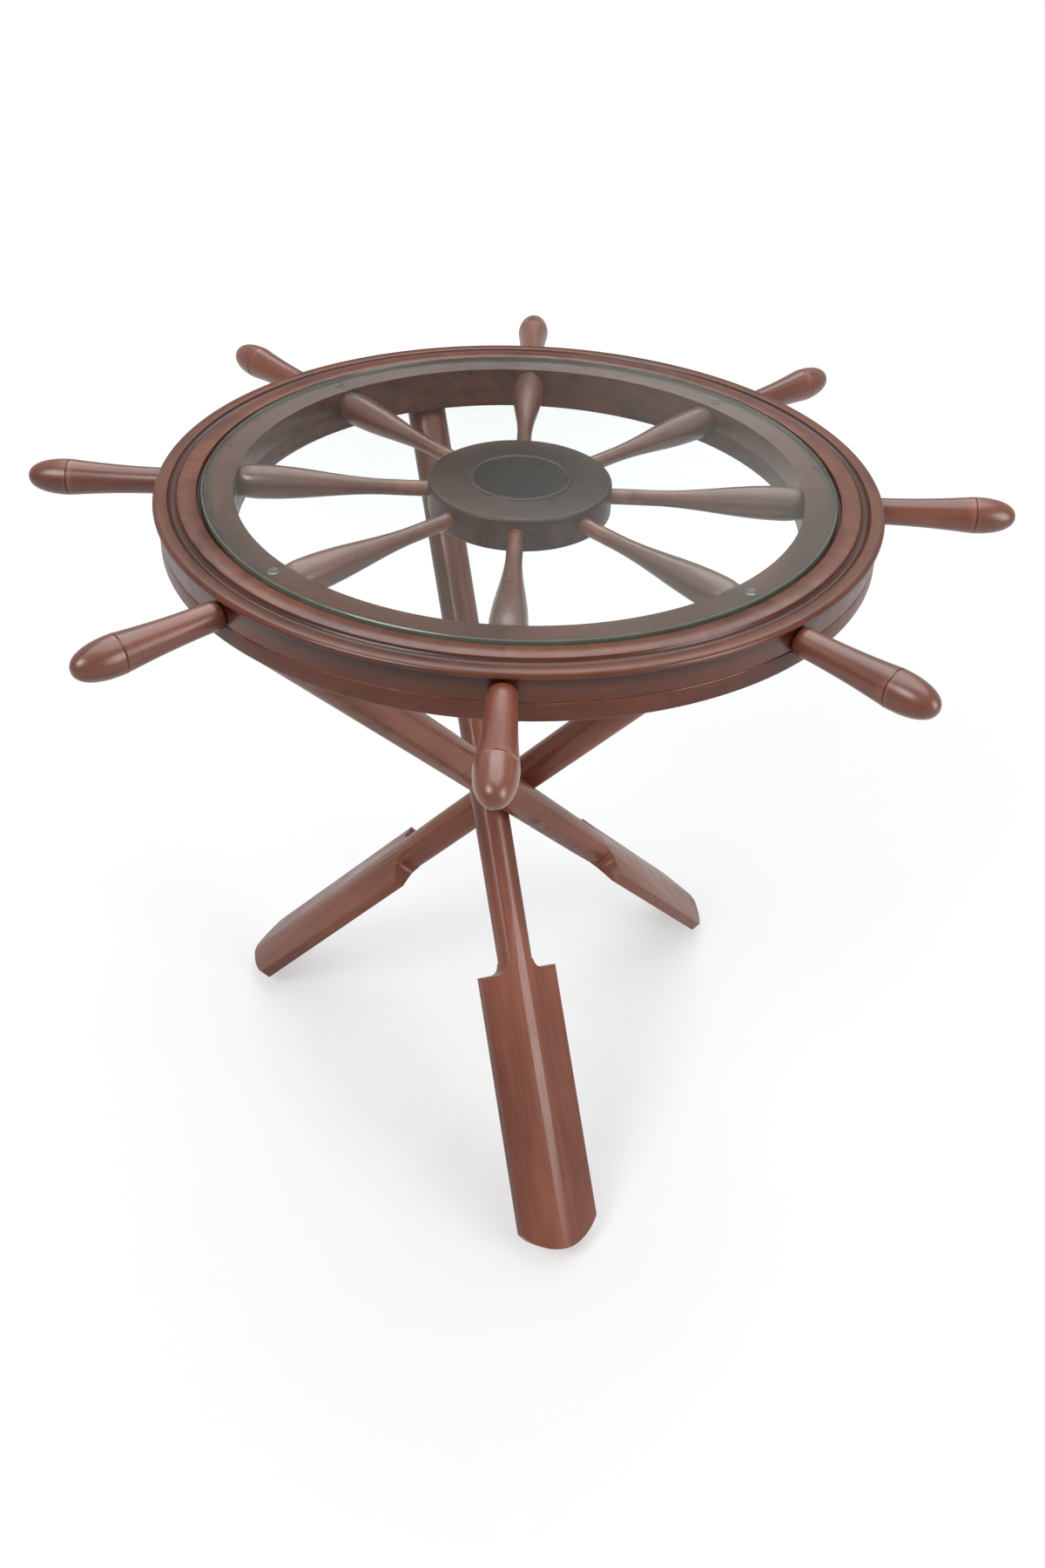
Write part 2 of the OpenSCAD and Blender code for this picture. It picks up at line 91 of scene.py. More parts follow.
# Oars
OAR_COUNT = 3
FOOT_POINT = (76.7522, -317.865, 9.4822)
OAR_HEADING = 107.954
OAR_PITCH = 47.4804
OAR_L = 947.047
BLADE_ROLLS = (14.0, -21.0, 7.0)
BLADE_L = 290.0
BLADE_W = 90.0
BLADE_EDGE_T = 13.0
BLADE_RIDGE_T = 32.0
RIDGE_FLAT_W = 10.0
BLADE_END_R = 57.0
SHOULDER_R = 11.0
NECK_W = 31.5
LOOM_BLADE_D = 37.5
LOOM_TOP_D = 43.0
LOOM_FLAT_L = 60.0
NECK_OVERLAP = 5.0
CROSSING = (-21.4363, -14.8418, 356.863)
CROSSING_DIR = (0.888998, -0.189711, 0.416765)
LOOM_CROSS_R = 19.655
PLUG_D = 10.1
PLUG_T = 8.0

# Fits and finish, in millimetres
SEAT_GAP = 0.2
HUB_END_SUNK = 4.0
RIM_END_SUNK = 2.0
RIM_SOFTENING = 0.6
OAR_SOFTENING = 1.1
SHORTEST_CREASE = 15.0

# Modelling tolerances, in metres
SAME_CORNER = 0.00001
SAME_PLANE = 1e-7

# A face counts as level when its normal's upright share is past this
LEVEL = 0.9

# Sockets of a colour Mix node
MIX_SHARE, MIX_UNDER, MIX_OVER, MIX_RESULT = 0, 6, 7, 2

# How far each copy's wood lies from the first one's in the stock, in metres
STOCK_STEP = Vector((0.31, 0.17, 0.83))


def point(x, y, z):
    return Vector((x, y, z)) * MM


def arc(centre_r, centre_z, radius, start, stop, steps):
    """Points on an arc beside the wheel's axis, with its angles in degrees."""
    turns = [radians(start + (stop - start) * i / steps) for i in range(steps + 1)]
    return [(centre_r + radius * cos(t), centre_z + radius * sin(t)) for t in turns]


# Modelling by hand

def clear_selection():
    if bpy.context.object and bpy.context.object.mode != "OBJECT":
        bpy.ops.object.mode_set(mode="OBJECT")
    bpy.ops.object.select_all(action="DESELECT")


def draw_outline(points):
    """Draws a line through the points, by pulling one corner out of the corner before it."""
    clear_selection()
    bpy.ops.mesh.primitive_plane_add(size=MM, location=points[0])
    bpy.ops.object.mode_set(mode="EDIT")
    bpy.ops.mesh.select_mode(type="VERT")
    bpy.ops.mesh.select_all(action="SELECT")
    bpy.ops.mesh.merge(type="CENTER")
    for before, after in zip(points, points[1:]):
        bpy.ops.mesh.extrude_region_move(TRANSFORM_OT_translate={"value": after - before})
    bpy.ops.mesh.select_all(action="SELECT")


def close_mesh(name):
    """Joins doubled corners, turns the faces outwards and puts the piece's origin at the frame's."""
    bpy.ops.mesh.select_all(action="SELECT")
    bpy.ops.mesh.remove_doubles(threshold=SAME_CORNER)
    bpy.ops.mesh.normals_make_consistent(inside=False)
    bpy.ops.object.mode_set(mode="OBJECT")
    bpy.ops.object.transform_apply(location=True, rotation=True, scale=True)
    piece = bpy.context.object
    piece.name = name
    return piece


def turn_about_axis(name, outline, steps=192):
    """Turns an outline of (radius, height) round the wheel's axis."""
    draw_outline([point(r, 0, z) for r, z in outline])
    bpy.ops.mesh.spin(steps=steps, angle=2 * pi, center=(0, 0, 0), axis=(0, 0, 1))
    return close_mesh(name)


def turn_on_lathe(name, outline, steps=64):
    """Turns an outline of (distance from the wheel's axis, radius) about the first spoke's axis."""
    draw_outline([point(x, 0, SPOKE_Z + r) for x, r in outline])
    bpy.ops.mesh.spin(steps=steps, angle=2 * pi, center=point(0, 0, SPOKE_Z), axis=(1, 0, 0))
    return close_mesh(name)


def make_active(piece):
    clear_selection()
    piece.select_set(True)
    bpy.context.view_layer.objects.active = piece


def soften(piece, width, angle=30, segments=2):
    make_active(piece)
    edge = piece.modifiers.new("Softened edges", "BEVEL")
    edge.width = width * MM
    edge.segments = segments
    edge.limit_method = "ANGLE"
    edge.angle_limit = radians(angle)
    edge.harden_normals = False
    bpy.ops.object.modifier_apply(modifier=edge.name)


def smooth(piece, angle=32):
    make_active(piece)
    bpy.ops.object.shade_smooth_by_angle(angle=radians(angle))


def crease_planes(piece, slope):
    """Keeps the long lines crisp where two planed faces meet at the given slope."""
    make_active(piece)
    bpy.ops.object.mode_set(mode="EDIT")
    bpy.ops.mesh.select_mode(type="EDGE")
    bpy.ops.mesh.select_all(action="DESELECT")
    bpy.ops.object.mode_set(mode="OBJECT")
    sides = {}
    for face in piece.data.polygons:
        for key in face.edge_keys:
            sides.setdefault(key, []).append(face.normal.copy())
    corners = piece.data.vertices
    for edge in piece.data.edges:
        first, second = sides[edge.key]
        length = (corners[edge.vertices[0]].co - corners[edge.vertices[1]].co).length
        edge.select = length > SHORTEST_CREASE * MM and abs(first.angle(second) - slope) < radians(1)
    bpy.ops.object.mode_set(mode="EDIT")
    bpy.ops.mesh.mark_sharp()
    bpy.ops.object.mode_set(mode="OBJECT")


def combine(piece, other, operation):
    """Joins another solid to a piece, or cuts it out."""
    make_active(piece)
    cut = piece.modifiers.new("Joint", "BOOLEAN")
    cut.operation = operation
    cut.solver = "EXACT"
    cut.object = other
    bpy.ops.object.modifier_apply(modifier=cut.name)
    bpy.data.objects.remove(other)


def saw(plane_point, plane_normal):
    """Saws the whole piece off on the outer side of a plane and closes the cut."""
    bpy.ops.mesh.select_all(action="SELECT")
    bpy.ops.mesh.bisect(plane_co=plane_point, plane_no=plane_normal, use_fill=True, clear_outer=True,
        threshold=SAME_PLANE)


def lay_board(piece, to_board, shift):
    """Stores each point's place in the stock that the piece was cut from, with the grain along the third number."""
    board = piece.data.attributes.new("board", "FLOAT_VECTOR", "POINT")
    offset = Vector(shift)
    for corner, place in zip(piece.data.vertices, board.data):
        place.vector = to_board @ corner.co + offset


def shift_board(piece, number):
    """Moves a copy's place in the stock, so that its grain differs from the first piece's."""
    for place in piece.data.attributes["board"].data:
        place.vector = place.vector + STOCK_STEP * (number - 1)


def copy_round(first, name, number, count):
    """Copies a piece and turns the copy round the wheel's axis."""
    make_active(first)
    bpy.ops.object.duplicate(linked=False)
    piece = bpy.context.object
    bpy.ops.transform.rotate(value=-2 * pi * (number - 1) / count, orient_axis="Z", center_override=(0, 0, 0))
    bpy.ops.object.transform_apply(location=True, rotation=True, scale=True)
    piece.name = name
    shift_board(piece, number)
    return piece


# Shader groups

def new_group(name, inputs, outputs):
    tree = bpy.data.node_groups.new(name, "ShaderNodeTree")
    for label, kind, value in inputs:
        socket = tree.interface.new_socket(label, in_out="INPUT", socket_type=kind)
        if value is not None:
            socket.default_value = value
    for label, kind in outputs:
        tree.interface.new_socket(label, in_out="OUTPUT", socket_type=kind)
    return tree


def link(tree, source, target):
    tree.links.new(source, target)


def node(tree, kind, **settings):
    made = tree.nodes.new(kind)
    for key, value in settings.items():
        setattr(made, key, value)
    return made


def math(tree, operation, first, second=None, third=None):
    """A Math node fed with sockets or plain numbers, giving its result."""
    made = node(tree, "ShaderNodeMath", operation=operation)
    for slot, value in enumerate((first, second, third)):
        if value is None:
            continue
        if isinstance(value, (int, float)):
            made.inputs[slot].default_value = value
        else:
            link(tree, value, made.inputs[slot])
    return made.outputs[0]


def noise(tree, place, scale, detail=2.0):
    made = node(tree, "ShaderNodeTexNoise")
    made.inputs["Scale"].default_value = scale
    made.inputs["Detail"].default_value = detail
    link(tree, place, made.inputs["Vector"])
    return made


def spread(tree, value, low, high, to_low=0.0, to_high=1.0):
    """A Map Range node from low..high to to_low..to_high."""
    made = node(tree, "ShaderNodeMapRange")
    made.inputs["From Min"].default_value = low
    made.inputs["From Max"].default_value = high
    made.inputs["To Min"].default_value = to_low
    made.inputs["To Max"].default_value = to_high
    link(tree, value, made.inputs["Value"])
    return made.outputs[0]


def mix(tree, share, under, over, blend="MIX"):
    """A Mix node laying a plain colour over a socket or another plain colour, giving its result."""
    made = node(tree, "ShaderNodeMix", data_type="RGBA", blend_type=blend)
    link(tree, share, made.inputs[MIX_SHARE])
    if isinstance(under, tuple):
        made.inputs[MIX_UNDER].default_value = under
    else:
        link(tree, under, made.inputs[MIX_UNDER])
    made.inputs[MIX_OVER].default_value = over
    return made.outputs[MIX_RESULT]


def grain_group():
    """Long fibres, pores and slow tone changes of stained hardwood, with the grain along Z."""
    tree = new_group("Stained grain",
        [("Place", "NodeSocketVector", None), ("Fibre size", "NodeSocketFloat", 1.0),
            ("Patch size", "NodeSocketFloat", 1.0)],
        [("Fibre", "NodeSocketFloat"), ("Patch", "NodeSocketFloat"), ("Pore", "NodeSocketFloat")])
    enter = node(tree, "NodeGroupInput")
    leave = node(tree, "NodeGroupOutput")
    stretch = node(tree, "ShaderNodeVectorMath", operation="MULTIPLY")
    stretch.inputs[1].default_value = (260, 260, 9)
    link(tree, enter.outputs["Place"], stretch.inputs[0])
    sized = node(tree, "ShaderNodeVectorMath", operation="SCALE")
    link(tree, stretch.outputs[0], sized.inputs[0])
    link(tree, enter.outputs["Fibre size"], sized.inputs["Scale"])
    fibre = noise(tree, sized.outputs[0], 1.0, 4.0)
    fibre.inputs["Roughness"].default_value = 0.62
    fibre.inputs["Distortion"].default_value = 0.3
    pore = noise(tree, sized.outputs[0], 3.4)
    slow = node(tree, "ShaderNodeVectorMath", operation="MULTIPLY")
    slow.inputs[1].default_value = (22, 22, 5)
    link(tree, enter.outputs["Place"], slow.inputs[0])
    slow_sized = node(tree, "ShaderNodeVectorMath", operation="SCALE")
    link(tree, slow.outputs[0], slow_sized.inputs[0])
    link(tree, enter.outputs["Patch size"], slow_sized.inputs["Scale"])
    patch = noise(tree, slow_sized.outputs[0], 1.0)
    link(tree, fibre.outputs[0], leave.inputs["Fibre"])
    link(tree, patch.outputs[0], leave.inputs["Patch"])
    link(tree, spread(tree, pore.outputs[0], 0.58, 0.72), leave.inputs["Pore"])
    return tree


def felloe_group():
    """Eight boards cut to the curve and joined end to end, with the grain along each and a fine joint between."""
    tree = new_group("Felloe boards",
        [("Place", "NodeSocketVector", None), ("Turn", "NodeSocketFloat", 0.0)],
        [("Board", "NodeSocketVector"), ("Joint", "NodeSocketFloat")])
    enter = node(tree, "NodeGroupInput")
    leave = node(tree, "NodeGroupOutput")
    parts = node(tree, "ShaderNodeSeparateXYZ")
    link(tree, enter.outputs["Place"], parts.inputs[0])
    bearing = math(tree, "ARCTAN2", parts.outputs["Y"], parts.outputs["X"])
    turned = math(tree, "ADD", bearing, enter.outputs["Turn"])
    share = math(tree, "DIVIDE", turned, 2 * pi / SPOKE_COUNT)
    number = math(tree, "ROUND", share)
    back = math(tree, "MULTIPLY", number, -2 * pi / SPOKE_COUNT)
    back_turned = math(tree, "ADD", back, enter.outputs["Turn"])
    straight = node(tree, "ShaderNodeVectorRotate", rotation_type="Z_AXIS")
    link(tree, enter.outputs["Place"], straight.inputs["Vector"])
    link(tree, back_turned, straight.inputs["Angle"])
    sides = node(tree, "ShaderNodeSeparateXYZ")
    link(tree, straight.outputs[0], sides.inputs[0])
    board = node(tree, "ShaderNodeCombineXYZ")
    link(tree, math(tree, "MULTIPLY_ADD", number, 0.37, sides.outputs["X"]), board.inputs["X"])
    link(tree, sides.outputs["Z"], board.inputs["Y"])
    link(tree, math(tree, "MULTIPLY_ADD", number, 1.3, sides.outputs["Y"]), board.inputs["Z"])
    off_middle = math(tree, "ABSOLUTE", math(tree, "SUBTRACT", share, number))
    link(tree, board.outputs[0], leave.inputs["Board"])
    link(tree, spread(tree, off_middle, 0.4985, 0.4996), leave.inputs["Joint"])
    return tree


def edge_wear_and_shade_group():
    """Raised edges made paler, partly as rubbed wear and partly as a painted highlight, and hollows made darker as
    painted shade.
    """
    tree = new_group("Rubbed and highlit edges, shaded hollows",
        [("Place", "NodeSocketVector", None), ("Reach", "NodeSocketFloat", 0.56)],
        [("Mask", "NodeSocketFloat"), ("Hollow", "NodeSocketFloat")])
    enter = node(tree, "NodeGroupInput")
    leave = node(tree, "NodeGroupOutput")
    shape = node(tree, "ShaderNodeNewGeometry")
    raised = node(tree, "ShaderNodeMapRange")
    raised.inputs["From Min"].default_value = 0.515
    link(tree, enter.outputs["Reach"], raised.inputs["From Max"])
    link(tree, shape.outputs["Pointiness"], raised.inputs["Value"])
    link(tree, spread(tree, shape.outputs["Pointiness"], 0.496, 0.482), leave.inputs["Hollow"])
    broken = spread(tree, noise(tree, enter.outputs["Place"], 60.0, 3.0).outputs[0], 0.4, 0.62)
    link(tree, math(tree, "MULTIPLY", raised.outputs[0], broken), leave.inputs["Mask"])
    return tree


def lacquer_group():
    """Slight unevenness of a brushed satin lacquer."""
    tree = new_group("Lacquer skin",
        [("Place", "NodeSocketVector", None), ("Grain size", "NodeSocketFloat", 1.0)],
        [("Sheen", "NodeSocketFloat"), ("Height", "NodeSocketFloat")])
    enter = node(tree, "NodeGroupInput")
    leave = node(tree, "NodeGroupOutput")
    sized = node(tree, "ShaderNodeVectorMath", operation="SCALE")
    link(tree, enter.outputs["Place"], sized.inputs[0])
    link(tree, enter.outputs["Grain size"], sized.inputs["Scale"])
    broad = noise(tree, sized.outputs[0], 34.0, 3.0)
    fine = noise(tree, sized.outputs[0], 420.0, 1.0)
    link(tree, broad.outputs[0], leave.inputs["Sheen"])
    link(tree, math(tree, "MULTIPLY_ADD", fine.outputs[0], 0.35, broad.outputs[0]), leave.inputs["Height"])
    return tree


GRAIN = grain_group()
FELLOES = felloe_group()
EDGE_WEAR_AND_SHADE = edge_wear_and_shade_group()
LACQUER = lacquer_group()


# Materials

def new_material(name):
    material = bpy.data.materials.new(name)
    material.use_nodes = True
    return material, material.node_tree, material.node_tree.nodes["Principled BSDF"]


def group_node(tree, group, place, **values):
    made = node(tree, "ShaderNodeGroup", node_tree=group)
    link(tree, place, made.inputs["Place"])
    for label, value in values.items():
        made.inputs[label.replace("_", " ").capitalize()].default_value = value
    return made


def object_place(tree, turn=(0, 0, 0)):
    place = node(tree, "ShaderNodeTexCoord")
    turned = node(tree, "ShaderNodeMapping")
    turned.inputs["Rotation"].default_value = turn
    link(tree, place.outputs["Object"], turned.inputs["Vector"])
    return turned.outputs[0]


def board_place(tree):
    return node(tree, "ShaderNodeAttribute", attribute_type="GEOMETRY", attribute_name="board").outputs["Vector"]


def stained_wood(name, dark, light, place, seam=None, roughness=0.33, coat=0.25, coat_blur=0.2, wear_and_shade_amount=1.0):
    """Stained hardwood under satin lacquer. Place makes the board's own coordinates from the node tree."""
    material, tree, shader = new_material(name)
    board = place(tree)
    joint = None
    if seam is not None:
        boards = group_node(tree, FELLOES, board, turn=seam)
        board = boards.outputs["Board"]
        joint = boards.outputs["Joint"]
    grain = group_node(tree, GRAIN, board)
    skin = group_node(tree, LACQUER, board)
    edge_wear_and_shade = group_node(tree, EDGE_WEAR_AND_SHADE, board)
    patch = math(tree, "MULTIPLY", grain.outputs["Patch"], 0.7)
    tone = math(tree, "MULTIPLY_ADD", grain.outputs["Fibre"], 0.3, patch)
    ramp = node(tree, "ShaderNodeValToRGB")
    ramp.color_ramp.elements[0].position = 0.36
    ramp.color_ramp.elements[0].color = (*dark, 1)
    ramp.color_ramp.elements[1].position = 0.64
    ramp.color_ramp.elements[1].color = (*light, 1)
    link(tree, tone, ramp.inputs[0])
    pore = math(tree, "MULTIPLY", grain.outputs["Pore"], 0.15)
    colour = mix(tree, pore, ramp.outputs[0], (0.62, 0.52, 0.5, 1), "MULTIPLY")
    # Painted shade: darker where the surface is hollow, such as the cove, standing in for the shade that falls there.
    painted_hollow_shade = math(tree, "MULTIPLY", edge_wear_and_shade.outputs["Hollow"], wear_and_shade_amount)
    colour = mix(tree, painted_hollow_shade, colour, (0.4, 0.34, 0.34, 1), "MULTIPLY")
    # Painted highlight and wear: raised edges made paler, partly as rubbed wear and partly as a painted sheen on the
    # edges.
    rubbed_and_highlit = math(tree, "MULTIPLY", edge_wear_and_shade.outputs["Mask"], 0.5 * wear_and_shade_amount)
    colour = mix(tree, rubbed_and_highlit, colour, (*[min(1, 1.9 * c + 0.02) for c in light], 1))
    if joint is not None:
        colour = mix(tree, math(tree, "MULTIPLY", joint, 0.5), colour, (*[0.35 * c for c in dark], 1))
    link(tree, colour, shader.inputs["Base Color"])
    blur = spread(tree, skin.outputs["Sheen"], 0.3, 0.7, roughness - 0.06, roughness + 0.08)
    link(tree, blur, shader.inputs["Roughness"])
    height = math(tree, "MULTIPLY_ADD", grain.outputs["Fibre"], 0.5, skin.outputs["Height"])
    bump = node(tree, "ShaderNodeBump")
    bump.inputs["Strength"].default_value = 0.1
    bump.inputs["Distance"].default_value = 0.0005
    link(tree, height, bump.inputs["Height"])
    link(tree, bump.outputs[0], shader.inputs["Normal"])
    shader.inputs["Specular IOR Level"].default_value = 0.3
    shader.inputs["Coat Weight"].default_value = coat
    shader.inputs["Coat Roughness"].default_value = coat_blur
    return material


def polished_glass():
    material, tree, shader = new_material("Polished plate glass")
    smears = noise(tree, object_place(tree), 9.0, 4.0)
    link(tree, spread(tree, smears.outputs[0], 0.45, 0.75, 0.0, 0.03), shader.inputs["Roughness"])
    shader.inputs["Base Color"].default_value = (0.955, 0.985, 0.97, 1)
    shader.inputs["Transmission Weight"].default_value = 1.0
    shader.inputs["IOR"].default_value = 1.5
    return material


def glass_edge():
    """The ground edge, where the sheet's own green shows."""
    material, tree, shader = new_material("Ground glass edge")
    ground = noise(tree, object_place(tree), 55.0, 3.0)
    tint = mix(tree, ground.outputs[0], (0.16, 0.18, 0.14, 1), (0.24, 0.26, 0.21, 1))
    link(tree, tint, shader.inputs["Base Color"])
    link(tree, spread(tree, ground.outputs[0], 0.3, 0.7, 0.12, 0.22), shader.inputs["Roughness"])
    shader.inputs["Transmission Weight"].default_value = 0.3
    shader.inputs["IOR"].default_value = 1.5
    return material


def clear_pad():
    material, tree, shader = new_material("Clear soft bumper")
    cloud = noise(tree, object_place(tree), 180.0)
    link(tree, spread(tree, cloud.outputs[0], 0.3, 0.7, 0.15, 0.3), shader.inputs["Roughness"])
    shader.inputs["Base Color"].default_value = (0.78, 0.76, 0.73, 1)
    shader.inputs["Specular IOR Level"].default_value = 0.15
    shader.inputs["Transmission Weight"].default_value = 1.0
    shader.inputs["IOR"].default_value = 1.42
    return material


def plain_steel():
    material, tree, shader = new_material("Plain screw steel")
    marks = noise(tree, object_place(tree), 700.0, 3.0)
    link(tree, spread(tree, marks.outputs[0], 0.3, 0.7, 0.28, 0.45), shader.inputs["Roughness"])
    shader.inputs["Base Color"].default_value = (0.55, 0.55, 0.53, 1)
    shader.inputs["Metallic"].default_value = 1.0
    return material


ALONG_X = (0, -pi / 2, 0)
RIM_STAIN = (0.075, 0.018, 0.007), (0.150, 0.039, 0.017)
HUB_STAIN = (0.045, 0.015, 0.009), (0.09, 0.031, 0.018)
TURNED_STAIN = (0.125, 0.033, 0.017), (0.24, 0.072, 0.040)
OAR_STAIN = (0.148, 0.042, 0.024), (0.275, 0.092, 0.056)
PLUG_STAIN = (0.04, 0.014, 0.010), (0.08, 0.030, 0.020)
BARE_WOOD = (0.42, 0.26, 0.14), (0.60, 0.41, 0.25)

UPPER_RIM_WOOD = stained_wood("Upper rim mahogany", *RIM_STAIN, object_place, seam=radians(22.5), coat=0.45)
LOWER_RIM_WOOD = stained_wood("Lower rim mahogany", *RIM_STAIN, object_place, seam=0.0, coat=0.35)
HUB_WOOD = stained_wood("Hub mahogany", *HUB_STAIN, lambda tree: object_place(tree, ALONG_X))
TURNED_WOOD = stained_wood("Turned mahogany", *TURNED_STAIN, board_place, coat=1.0, coat_blur=0.28)
OAR_WOOD = stained_wood("Oar mahogany", *OAR_STAIN, board_place, coat=0.4, wear_and_shade_amount=0.1)
PLUG_WOOD = stained_wood("Dark plug wood", *PLUG_STAIN, object_place)
DOWEL_WOOD = stained_wood("Bare dowel wood", *BARE_WOOD, object_place, coat=0.0, roughness=0.6)
GLASS = polished_glass()
GLASS_EDGE = glass_edge()
CLEAR_PAD = clear_pad()
SCREW_STEEL = plain_steel()


def paint(piece, material):
    piece.data.materials.clear()
    piece.data.materials.append(material)


def place_piece(piece, body, cad_name, material):
    paint(piece, material)
    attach(piece, body)
    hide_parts(cad_name)


# Wheel rim

def upper_rim():
    """The ring that holds the spokes: ledge and wall of the glass rebate, raised band, cove and rolled nosing."""
    cove_r = COVE_W / 2
    cove_z = NOSING_TOP + cove_r - COVE_DEPTH
    band_side = sqrt(cove_r ** 2 - (RIM_TOP - cove_z) ** 2)
    nosing_side = sqrt(cove_r ** 2 - (NOSING_TOP - cove_z) ** 2)
    band_turn = 180 + degrees(atan((cove_z - RIM_TOP) / band_side))
    nosing_turn = 360 - degrees(atan((cove_z - NOSING_TOP) / nosing_side))
    cove = arc(BAND_R + cove_r, cove_z, cove_r, band_turn, nosing_turn, 14)
    nosing = arc(RIM_R - NOSING_ROUND, NOSING_TOP - NOSING_ROUND, NOSING_ROUND, 90, 0, 8)
    outline = ([(OPENING_R, SEAM_Z), (OPENING_R, REBATE_Z), (REBATE_R, REBATE_Z), (REBATE_R, RIM_TOP)]
        + cove + nosing
        + [(RIM_R, NOSING_TOP - NOSING_H), (WALL_R, NOSING_TOP - NOSING_H), (WALL_R, SEAM_Z + SEAM_BEVEL),
           (WALL_R - SEAM_BEVEL, SEAM_Z), (OPENING_R, SEAM_Z)])
    ring = turn_about_axis("upper_rim", outline)
    soften(ring, RIM_SOFTENING)
    smooth(ring)
    place_piece(ring, "frame", "felloe_ring", UPPER_RIM_WOOD)


def lower_rim():
    outline = ([(OPENING_R, RIM_BOTTOM), (OPENING_R, SEAM_Z),
           (WALL_R - SEAM_BEVEL, SEAM_Z), (WALL_R, SEAM_Z - SEAM_BEVEL)]
        + arc(WALL_R - UNDER_ROUND, RIM_BOTTOM + UNDER_ROUND, UNDER_ROUND, 0, -90, 6)
        + [(OPENING_R, RIM_BOTTOM)])
    ring = turn_about_axis("lower_rim", outline)
    soften(ring, RIM_SOFTENING)
    smooth(ring)
    place_piece(ring, "frame", "under_ring", LOWER_RIM_WOOD)


# Hub

def hub_plates():
    top = SPOKE_Z + HUB_UPPER_H
    round_top = arc(HUB_R - HUB_ROUND, top - HUB_ROUND, HUB_ROUND, 0, 90, 8)
    upper = turn_about_axis("upper_hub_plate", [(0, SPOKE_Z), (HUB_R, SPOKE_Z)] + round_top + [(0, top)], HUB_STEPS)
    smooth(upper)
    place_piece(upper, "frame", "hub_upper_plate", HUB_WOOD)
    low = SPOKE_Z - HUB_LOWER_H
    round_low = arc(HUB_R - HUB_ROUND, low + HUB_ROUND, HUB_ROUND, 0, -90, 8)
    lower = turn_about_axis("lower_hub_plate", [(0, SPOKE_Z), (HUB_R, SPOKE_Z)] + round_low + [(0, low)], HUB_STEPS)
    smooth(lower)
    place_piece(lower, "frame", "hub_lower_plate", HUB_WOOD)


def hub_cap():
    """A thin disc with a rounded border and a slightly sunk middle."""
    low = SPOKE_Z + HUB_UPPER_H
    crown_z = low + CAP_H - CAP_BORDER
    outer = degrees(atan((low - crown_z) / sqrt(CAP_BORDER ** 2 - (low - crown_z) ** 2)))
    dish_z = low + CAP_H - CAP_DISH
    inner = 180 - degrees(atan((dish_z - crown_z) / sqrt(CAP_BORDER ** 2 - (dish_z - crown_z) ** 2)))
    border = arc(CAP_R - CAP_BORDER, crown_z, CAP_BORDER, outer, inner, 12)
    cap = turn_about_axis("hub_cap_disc", [(0, low)] + border + [(0, dish_z)], HUB_STEPS)
    smooth(cap)
    place_piece(cap, "frame", "hub_cap", HUB_WOOD)


# Spokes and handles

def ease(t):
    return (1 - cos(pi * t)) / 2


def spokes():
    """Slim at the hub, fullest near the rim, with a rounded end against the rim's inner wall."""
    length = OPENING_R - HUB_R
    rise = length - SPOKE_NECK_L - SPOKE_END_L
    outline = [(HUB_R - HUB_END_SUNK, 0), (HUB_R - HUB_END_SUNK, SPOKE_HUB_D / 2)]
    for i in range(25):
        t = i / 24
        outline.append((HUB_R + SPOKE_NECK_L + rise * t, (SPOKE_HUB_D + (SPOKE_MAX_D - SPOKE_HUB_D) * ease(t)) / 2))
    for i in range(1, 15):
        t = i / 14
        outline.append((OPENING_R - SPOKE_END_L * (1 - t),
            (SPOKE_RIM_D + (SPOKE_MAX_D - SPOKE_RIM_D) * sqrt(1 - t * t)) / 2))
    outline += [(OPENING_R + RIM_END_SUNK, SPOKE_RIM_D / 2), (OPENING_R + RIM_END_SUNK, 0)]
    first = turn_on_lathe("turned_spoke_1", outline)
    smooth(first, 40)
    lay_board(first, Matrix(((0, 1, 0), (0, 0, 1), (1, 0, 0))), (0.05, 0.02, 0.4))
    finish_turned(first, "turned_spoke", "spoke")


def handles():
    """Rounded shoulder at the rim, grip swelling outwards, scribed groove and blunt domed end."""
    scribe_x = HANDLE_L - DOME_L
    outline = [(WALL_R - RIM_END_SUNK, 0), (WALL_R - RIM_END_SUNK, HANDLE_NECK_D / 2 - HANDLE_SHOULDER)]
    for i in range(9):
        t = pi / 2 * i / 8
        outline.append((WALL_R + HANDLE_SHOULDER * (1 - cos(t)),
            HANDLE_NECK_D / 2 - HANDLE_SHOULDER * (1 - sin(t))))
    grip = scribe_x - SCRIBE_W - HANDLE_SHOULDER
    for i in range(1, 17):
        t = i / 16
        outline.append((WALL_R + HANDLE_SHOULDER + grip * t,
            (HANDLE_NECK_D + (HANDLE_MAX_D - HANDLE_NECK_D) * t * t) / 2))
    for i in range(1, 8):
        t = i / 8
        outline.append((WALL_R + scribe_x - SCRIBE_W * (1 - t), HANDLE_MAX_D / 2 - SCRIBE_DEPTH * sin(pi * t)))
    for i in range(25):
        t = pi / 2 * i / 24
        outline.append((WALL_R + scribe_x + DOME_L * sin(t),
            HANDLE_MAX_D / 2 * (1 - sin(t) ** DOME_POWER) ** (1 / DOME_POWER) if i < 24 else 0))
    first = turn_on_lathe("turned_handle_1", outline)
    smooth(first, 40)
    lay_board(first, Matrix(((0, 1, 0), (0, 0, 1), (1, 0, 0))), (0.71, 0.33, 0.1))
    finish_turned(first, "turned_handle", "handle")


def finish_turned(first, name, cad_name):
    for number in range(2, SPOKE_COUNT + 1):
        piece = copy_round(first, f"{name}_{number}", number, SPOKE_COUNT)
        place_piece(piece, "frame", f"{cad_name}_{number}", TURNED_WOOD)
    place_piece(first, "frame", f"{cad_name}_1", TURNED_WOOD)


# Glass

